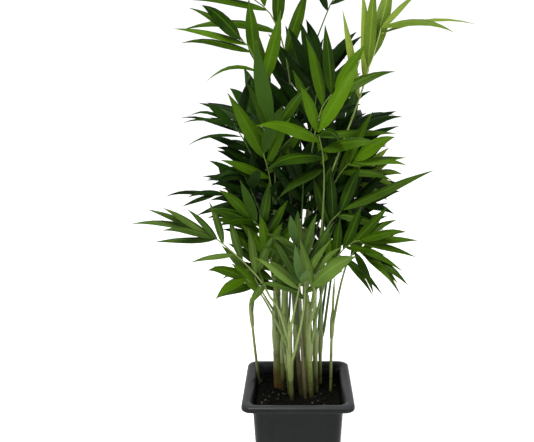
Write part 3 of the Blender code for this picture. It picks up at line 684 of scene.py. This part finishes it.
def leaf_skin(name, low_colour, high_colour, under_colour):
    """A leaf: green from painted shade to painted light, ribs along the blade, a paler midrib,
    its own under side, a browned tip.
    """
    skin = bpy.data.materials.new(name)
    skin.use_nodes = True
    add, link = skin.node_tree.nodes.new, skin.node_tree.links.new
    shader = skin.node_tree.nodes["Principled BSDF"]
    shader.inputs["IOR"].default_value = 1.42
    shader.inputs["Specular IOR Level"].default_value = 0.10
    shader.inputs["Specular Tint"].default_value = (0.85, 1.0, 0.55, 1)
    grown = add("ShaderNodeAttribute")
    grown.attribute_name = "leaf"
    parts = add("ShaderNodeSeparateColor")
    link(grown.outputs["Color"], parts.inputs["Color"])
    lie = add("ShaderNodeUVMap")
    lie.uv_map = "blade"
    across = add("ShaderNodeSeparateXYZ")
    link(lie.outputs["UV"], across.inputs["Vector"])
    place = add("ShaderNodeTexCoord")
    cloud = add("ShaderNodeTexNoise")
    cloud.inputs["Scale"].default_value = 38
    cloud.inputs["Detail"].default_value = 5
    link(place.outputs["Object"], cloud.inputs["Vector"])
    ribs = add("ShaderNodeTexWave")
    ribs.bands_direction = "X"
    ribs.inputs["Scale"].default_value = 3.2
    ribs.inputs["Distortion"].default_value = 0.5
    ribs.inputs["Detail"].default_value = 2
    link(lie.outputs["UV"], ribs.inputs["Vector"])
    mixed = add("ShaderNodeMath")
    mixed.operation = "MULTIPLY_ADD"
    mixed.inputs[1].default_value = 0.55
    link(cloud.outputs["Fac"], mixed.inputs[0])
    link(parts.outputs["Red"], mixed.inputs[2])
    # The upper side runs from a green in painted shade to a green in painted light with the
    # leaflet's tone.
    shade = add("ShaderNodeValToRGB")
    shade.color_ramp.elements[0].position = 0.20
    shade.color_ramp.elements[0].color = (*low_colour, 1)
    shade.color_ramp.elements[1].position = 1.0
    shade.color_ramp.elements[1].color = (*high_colour, 1)
    link(mixed.outputs["Value"], shade.inputs["Fac"])
    rib_shade = add("ShaderNodeMapRange")
    rib_shade.inputs["To Min"].default_value = 0.84
    rib_shade.inputs["To Max"].default_value = 1.12
    link(ribs.outputs["Fac"], rib_shade.inputs["Value"])
    ribbed = add("ShaderNodeVectorMath")
    ribbed.operation = "SCALE"
    link(shade.outputs["Color"], ribbed.inputs[0])
    link(rib_shade.outputs["Result"], ribbed.inputs["Scale"])
    from_rib = add("ShaderNodeMath")
    from_rib.operation = "SUBTRACT"
    from_rib.inputs[1].default_value = 0.5
    link(across.outputs["X"], from_rib.inputs[0])
    distance = add("ShaderNodeMath")
    distance.operation = "ABSOLUTE"
    link(from_rib.outputs["Value"], distance.inputs[0])
    midrib = add("ShaderNodeMapRange")
    midrib.inputs["From Min"].default_value = 0.018
    midrib.inputs["From Max"].default_value = 0.07
    midrib.inputs["To Min"].default_value = 0.30
    midrib.inputs["To Max"].default_value = 0.0
    link(distance.outputs["Value"], midrib.inputs["Value"])
    lined = add("ShaderNodeMix")
    lined.data_type = "RGBA"
    lined.inputs["B"].default_value = (*[c * 1.5 + 0.006 for c in high_colour], 1)
    link(midrib.outputs["Result"], lined.inputs["Factor"])
    link(ribbed.outputs["Vector"], lined.inputs["A"])
    below = add("ShaderNodeMix")
    below.data_type = "RGBA"
    below.inputs["B"].default_value = (*under_colour, 1)
    link(parts.outputs["Green"], below.inputs["Factor"])
    link(lined.outputs["Result"], below.inputs["A"])
    frayed = add("ShaderNodeMath")
    frayed.operation = "MULTIPLY_ADD"
    frayed.inputs[1].default_value = 0.10
    link(cloud.outputs["Fac"], frayed.inputs[0])
    link(across.outputs["Y"], frayed.inputs[2])
    withered = add("ShaderNodeMapRange")
    withered.inputs["From Min"].default_value = 1.005
    withered.inputs["From Max"].default_value = 1.05
    withered.inputs["To Max"].default_value = 0.8
    link(frayed.outputs["Value"], withered.inputs["Value"])
    tipped = add("ShaderNodeMix")
    tipped.data_type = "RGBA"
    tipped.inputs["B"].default_value = (0.13, 0.085, 0.030, 1)
    link(withered.outputs["Result"], tipped.inputs["Factor"])
    link(below.outputs["Result"], tipped.inputs["A"])
    link(tipped.outputs["Result"], shader.inputs["Base Color"])
    gloss = add("ShaderNodeMapRange")
    gloss.inputs["To Min"].default_value = 0.28
    gloss.inputs["To Max"].default_value = 0.44
    link(cloud.outputs["Fac"], gloss.inputs["Value"])
    link(gloss.outputs["Result"], shader.inputs["Roughness"])
    relief = add("ShaderNodeBump")
    relief.inputs["Strength"].default_value = 0.35
    relief.inputs["Distance"].default_value = 0.0005
    link(ribs.outputs["Fac"], relief.inputs["Height"])
    link(relief.outputs["Normal"], shader.inputs["Normal"])
    return skin


def stalk_skin(name, low_colour, high_colour):
    """A stalk's or a sheath's smooth green skin, with fine lines up it."""
    skin = bpy.data.materials.new(name)
    skin.use_nodes = True
    add, link = skin.node_tree.nodes.new, skin.node_tree.links.new
    shader = skin.node_tree.nodes["Principled BSDF"]
    shader.inputs["Roughness"].default_value = 0.42
    shader.inputs["Specular IOR Level"].default_value = 0.25
    place = add("ShaderNodeTexCoord")
    stretch = add("ShaderNodeMapping")
    stretch.inputs["Scale"].default_value = (1, 1, 0.08)
    link(place.outputs["Object"], stretch.inputs["Vector"])
    fibres = add("ShaderNodeTexNoise")
    fibres.inputs["Scale"].default_value = 650
    fibres.inputs["Detail"].default_value = 4
    link(stretch.outputs["Vector"], fibres.inputs["Vector"])
    shade = add("ShaderNodeValToRGB")
    shade.color_ramp.elements[0].position = 0.3
    shade.color_ramp.elements[0].color = (*low_colour, 1)
    shade.color_ramp.elements[1].position = 0.7
    shade.color_ramp.elements[1].color = (*high_colour, 1)
    link(fibres.outputs["Fac"], shade.inputs["Fac"])
    link(shade.outputs["Color"], shader.inputs["Base Color"])
    relief = add("ShaderNodeBump")
    relief.inputs["Strength"].default_value = 0.3
    relief.inputs["Distance"].default_value = 0.0004
    link(fibres.outputs["Fac"], relief.inputs["Height"])
    link(relief.outputs["Normal"], shader.inputs["Normal"])
    return skin


def flat_blade():
    """One leaflet, straight along Y, one unit long and one in half breadth."""
    rest_all()
    bpy.ops.mesh.primitive_circle_add(vertices=6, radius=1, fill_type="NGON")
    blade = bpy.context.object
    share, breadth = LEAFLET_OUTLINE[0]
    for spot, (x, z) in zip(blade.data.vertices, LEAFLET_SECTION):
        spot.co = (x * breadth, share, z * breadth)
    bpy.ops.object.mode_set(mode="EDIT")
    bpy.ops.mesh.select_all(action="SELECT")
    for (share, breadth), (after, next_breadth) in zip(LEAFLET_OUTLINE, LEAFLET_OUTLINE[1:]):
        bpy.ops.mesh.extrude_region_move(
            TRANSFORM_OT_translate={"value": (0, after - share, 0)})
        ratio = next_breadth / breadth
        bpy.ops.transform.resize(value=(ratio, 1, ratio), center_override=(0, after, 0))
    bpy.ops.object.mode_set(mode="OBJECT")
    outward(blade)
    blade.data.uv_layers.new(name="blade")
    blade.data.attributes.new("leaf", "FLOAT_COLOR", "CORNER")
    lie = blade.data.uv_layers["blade"]
    leaf = blade.data.attributes["leaf"]
    for face in blade.data.polygons:
        corners = [blade.data.vertices[i].co for i in face.vertices]
        under = 1.0 if face.normal.z < 0 else 0.0
        for loop, spot in zip(face.loop_indices, corners):
            half = min(LEAFLET_OUTLINE, key=lambda step: abs(step[0] - spot.y))[1]
            lie.data[loop].uv = (0.5 + 0.5 * spot.x / half, spot.y)
            leaf.data[loop].color = (0.5, under, spot.y, 1)
    for face in blade.data.polygons:
        face.use_smooth = True
    return blade


def read_leaflets(node):
    """Where a CAD frond's leaflets are: foot, bend, half breadth and side."""
    shape = bmesh.new()
    shape.from_mesh(node.data)
    bmesh.ops.remove_doubles(shape, verts=shape.verts, dist=CAD_MERGE_DISTANCE)
    leaflets = []
    for tip in shape.verts:
        first = [edge.other_vert(tip) for edge in tip.link_edges]
        if len(first) != 4 or min((v.co - tip.co).length for v in first) < TIP_EDGE:
            continue
        arms = [(v.co - tip.co).normalized() for v in first]
        if min(arm.dot(sum(arms, Vector()).normalized()) for arm in arms) < 0.75:
            continue
        second = {edge.other_vert(v) for v in first for edge in v.link_edges}
        second -= set(first) | {tip}
        upper_middle, upper_half, upper_side, upper_top = read_ring(first)
        reach = (upper_middle - tip.co).length * (RING_HIGH - RING_LOW) / (1 - RING_HIGH)
        second = sorted(second, key=lambda v: abs((v.co - upper_middle).length - reach))[:4]
        lower_middle, lower_half, lower_side, lower_top = read_ring(second)
        # The middle line is foot + bend1 * s + bend2 * s * s, through both rings and the tip.
        slope_low = (upper_middle - lower_middle) / (RING_HIGH - RING_LOW)
        slope_high = (tip.co - upper_middle) / (1 - RING_HIGH)
        bend2 = (slope_high - slope_low) / (1 - RING_LOW)
        bend1 = slope_low - bend2 * (RING_LOW + RING_HIGH)
        foot = lower_middle - bend1 * RING_LOW - bend2 * RING_LOW ** 2
        side = lower_side
        if side.cross(bend1).dot(lower_top + upper_top) < 0:
            side = -side
        leaflets.append((foot, bend1, bend2, lower_half / RING_LOW_BREADTH, side))
    shape.free()
    return leaflets


def read_ring(ring):
    """Middle, half breadth, side direction and top direction of a leaflet's ring."""
    pairs = [(a, b) for a in ring for b in ring if a.index < b.index]
    left, right = max(pairs, key=lambda pair: (pair[0].co - pair[1].co).length)
    middle = (left.co + right.co) / 2
    top = sum((v.co - middle for v in ring if v not in (left, right)), Vector())
    side = right.co - left.co
    return middle, side.length / 2, side.normalized(), top.normalized()


def read_stalk(node, leaflets):
    """Points along a CAD frond's stalk: its bare lower rings, then leaflet feet."""
    shape = bmesh.new()
    shape.from_mesh(node.data)
    bmesh.ops.remove_doubles(shape, verts=shape.verts, dist=CAD_MERGE_DISTANCE)
    shape.verts.ensure_lookup_table()
    feet = [leaflet[0] for leaflet in leaflets]
    lowest = min(shape.verts, key=lambda v: v.co.z)
    nearest = sorted(shape.verts, key=lambda v: (v.co - lowest.co).length)
    foot_ring = nearest[:CAD_STALK_SIDES]
    points = [sum((v.co for v in foot_ring), Vector()) / CAD_STALK_SIDES]
    seen = set(foot_ring)
    layer = foot_ring
    while True:
        after = {e.other_vert(v) for v in layer for e in v.link_edges} - seen
        if len(after) != CAD_STALK_SIDES:
            break
        points.append(sum((v.co for v in after), Vector()) / CAD_STALK_SIDES)
        seen |= after
        layer = after
    shape.free()
    start = points[0]
    beyond = max((point - start).length for point in points) + STALK_MARGIN
    for foot in sorted(feet, key=lambda foot: (foot - start).length):
        if (foot - start).length > beyond and (foot - points[-1]).length > STALK_STEP:
            points.append(foot)
    return points


def gap_to_cane(spot, cane):
    """How far a spot is from a cane's skin, at the spot's own height."""
    line, girth, low, high = cane
    share = (spot.z - low) / (high - low)
    if not 0 <= share <= 1:
        return 1.0
    return (line(share) - spot).length - girth(share)


blade = flat_blade()
stalk_pattern = closed_stem(sides=8, rings=22)
sheath_pattern = closed_stem(sides=12, rings=8)
skins = {tone: leaf_skin(tone + "_skin", *colours) for tone, colours in LEAF_TONES.items()}
sheath_skin = stalk_skin("leaf_sheath", (0.090, 0.120, 0.030), (0.170, 0.205, 0.065))
# Stalk copies for the frond tones: darker for fronds in painted shade, paler for fronds in
# painted light.
stalk_skins = {
    "leaf_dark": stalk_skin("dark_frond_stalk", (0.020, 0.055, 0.008), (0.050, 0.095, 0.015)),
    "leaf_mid": stalk_skin("green_frond_stalk", (0.055, 0.095, 0.014), (0.105, 0.150, 0.028)),
    "leaf_pale": stalk_skin("pale_frond_stalk", (0.130, 0.180, 0.040), (0.210, 0.270, 0.075)),
    "leaf_young": stalk_skin("young_frond_stalk", (0.100, 0.145, 0.032), (0.165, 0.215, 0.058)),
}
tone_of = {}
for name, node in nodes.items():
    if name.startswith("frond_"):
        tone_of[name] = node.data.materials[0].name.split(".")[0]

for name in sorted(tone_of):
    dice = random.Random(name)
    tone_name = "leaf_young" if name in YOUNG_FRONDS else tone_of[name]
    fullness = YOUNG_FULLNESS if tone_name == "leaf_young" else FULLNESS
    frond_skins = (skins[tone_name], stalk_skins[tone_name], sheath_skin)
    leaflets = read_leaflets(nodes[name])
    points = read_stalk(nodes[name], leaflets)
    foot = points[0]
    cane_line, cane_girth, cane_low, cane_high = min(
        cane_lines.values(), key=lambda cane: gap_to_cane(foot, cane))
    sheath_low = (foot.z - SHEATH_LENGTH - cane_low) / (cane_high - cane_low)
    sheath_low = max(sheath_low, LOWEST_SHEATH)
    sheath_high = (foot.z + SHEATH_OVERLAP - cane_low) / (cane_high - cane_low)
    # The stalk starts inside its sheath, two thirds of the way up.
    clasp = (sheath_low + 2 * sheath_high) / 3
    points.insert(0, cane_line(clasp) + (foot - cane_line(sheath_high)) * 0.45)
    line, length = smooth_line(points)
    sheath = sheath_pattern.copy()
    sheath.data = sheath_pattern.data.copy()
    bpy.context.scene.collection.objects.link(sheath)

    def sheath_line(share, cane_line=cane_line, low=sheath_low, high=sheath_high, foot=foot):
        here = cane_line(low + (high - low) * share)
        return here + (foot - cane_line(high)) * (SHEATH_LEAN * share * share)

    def sheath_girth(share, girth=cane_girth, low=sheath_low, high=sheath_high):
        bulge = math.sin(math.pi * min(max(share, 0), 1)) ** 0.7
        swell = SHEATH_THICKNESS + SHEATH_SWELL * bulge
        return girth(low + (high - low) * share) + swell * (1.2 if share > 0.5 else 1.0)

    bend(sheath, sheath_line, Vector((1, 0, 0)), sheath_girth, sheath_girth)
    sheath.data.uv_layers.new(name="blade")
    sheath.data.attributes.new("leaf", "FLOAT_COLOR", "CORNER")
    for skin in frond_skins:
        sheath.data.materials.append(skin)
    for face in sheath.data.polygons:
        face.material_index = 2

    stalk = stalk_pattern.copy()
    stalk.data = stalk_pattern.data.copy()
    stalk.name = name + "_grown"
    bpy.context.scene.collection.objects.link(stalk)

    def slimness(share):
        return STALK_FOOT + (STALK_TIP - STALK_FOOT) * min(max(share, 0), 1) ** 0.8

    bend(stalk, line, Vector((0.8, 0.6, 0)).normalized(), slimness, slimness)
    stalk.data.uv_layers.new(name="blade")
    stalk.data.attributes.new("leaf", "FLOAT_COLOR", "CORNER")
    for skin in frond_skins:
        stalk.data.materials.append(skin)
    for face in stalk.data.polygons:
        face.use_smooth = True
        face.material_index = 1
    grown = [stalk, sheath]
    for foot, bend1, bend2, half, side in leaflets:
        leaflet = blade.copy()
        leaflet.data = blade.data.copy()
        bpy.context.scene.collection.objects.link(leaflet)
        reach = (bend1 + bend2).length
        sweep = dice.uniform(-0.03, 0.03) * reach
        sag = dice.uniform(0.02, 0.10) * reach * (1.0 if reach < LONG_LEAFLET else 0.4)

        def middle_line(s, foot=foot, bend1=bend1, bend2=bend2, side=side,
                        sweep=sweep, sag=sag):
            here = foot + bend1 * s + bend2 * (s * s)
            here += side * (sweep * 4 * s * (1 - s))
            here.z -= sag * max(s - SAG_START, 0) ** 2 / 0.2
            return here

        def breadth(s, half=half):
            return half * fullness

        def fold(s, half=half):
            return half * LEAFLET_FOLD

        bend(leaflet, middle_line, side, breadth, fold)
        # Painted shade: leaflets inside the plant, or half way up it, are darker; on top of
        # that their tone differs at random.
        out = Vector((foot.x, foot.y - PLANT_MIDDLE_Y)).length
        openness = min(out / OPEN_DISTANCE + LEAST_OPENNESS, 1.0)
        shade = math.exp(-((foot.z - DARKEST_HEIGHT) / DARKEST_HALF) ** 2)
        tone = dice.uniform(0.05, 0.85) * openness * (1 - DEEPEST_SHADE * shade)
        leaf = leaflet.data.attributes["leaf"].data
        for corner in leaf:
            corner.color = (tone, corner.color[1], corner.color[2], 1)
        leaflet.data.materials.append(frond_skins[0])
        grown.append(leaflet)
    take(stalk)
    for piece in grown:
        piece.select_set(True)
    bpy.ops.object.join()
    bpy.ops.object.shade_smooth_by_angle(angle=math.radians(50))
    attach(stalk, "root")
    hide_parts(name)
for pattern in (blade, stalk_pattern, sheath_pattern):
    bpy.data.objects.remove(pattern, do_unlink=True)


# ---------------------------------------------------------------------------
# The setting: a plain white floor and backdrop under soft studio lights, and
# the camera, which looks down a little at the plant.
# ---------------------------------------------------------------------------
LIGHT_AIM = Vector((0, 0, 0.36))
CAMERA_PLACE = (0, -0.77357, 0.50363)
CAMERA_TILT = 12.583
LENS_LENGTH = 46.336
LENS_SHIFT = -0.05805

rest_all()
bpy.ops.mesh.primitive_plane_add(size=24)
floor = bpy.context.object
floor.name = "studio_floor"
paint = bpy.data.materials.new("white_floor_paint")
paint.use_nodes = True
coat = paint.node_tree.nodes["Principled BSDF"]
coat.inputs["Base Color"].default_value = (0.92, 0.92, 0.92, 1)
coat.inputs["Roughness"].default_value = 0.8
coat.inputs["Emission Color"].default_value = (1, 1, 1, 1)
coat.inputs["Emission Strength"].default_value = 0.75
floor.data.materials.append(paint)

world = bpy.data.worlds.new("studio_white")
world.use_nodes = True
air, wire = world.node_tree.nodes.new, world.node_tree.links.new
sky = world.node_tree.nodes["Background"]
sky.inputs["Color"].default_value = (1, 1, 1, 1)
direction = air("ShaderNodeTexCoord")
climb = air("ShaderNodeSeparateXYZ")
wire(direction.outputs["Generated"], climb.inputs["Vector"])
ceiling = air("ShaderNodeMapRange")
ceiling.inputs["From Min"].default_value = 0.22
ceiling.inputs["From Max"].default_value = 0.60
ceiling.inputs["To Min"].default_value = 1.12
ceiling.inputs["To Max"].default_value = 0.30
wire(climb.outputs["Z"], ceiling.inputs["Value"])
wire(ceiling.outputs["Result"], sky.inputs["Strength"])
bpy.context.scene.world = world
bpy.context.scene.view_settings.view_transform = "Standard"


def soft_light(name, place, power, size):
    """A square soft box aimed at the middle of the plant."""
    box = bpy.data.lights.new(name, "AREA")
    box.energy = power
    box.size = size
    holder = bpy.data.objects.new(name, box)
    bpy.context.scene.collection.objects.link(holder)
    holder.location = place
    aim = LIGHT_AIM - Vector(place)
    holder.rotation_euler = aim.to_track_quat("-Z", "Y").to_euler()


soft_light("key_light", (-0.5, -0.8, 1.7), 40, 0.5)
soft_light("fill_light", (1.1, -0.9, 0.9), 6, 0.8)

lens = bpy.data.cameras.new("camera")
lens.sensor_width = 36
lens.lens = LENS_LENGTH
lens.shift_x = LENS_SHIFT
lens.clip_start = 0.01
camera = bpy.data.objects.new("camera", lens)
bpy.context.scene.collection.objects.link(camera)
camera.location = CAMERA_PLACE
camera.rotation_euler = (math.radians(90 - CAMERA_TILT), 0, 0)
bpy.context.scene.camera = camera
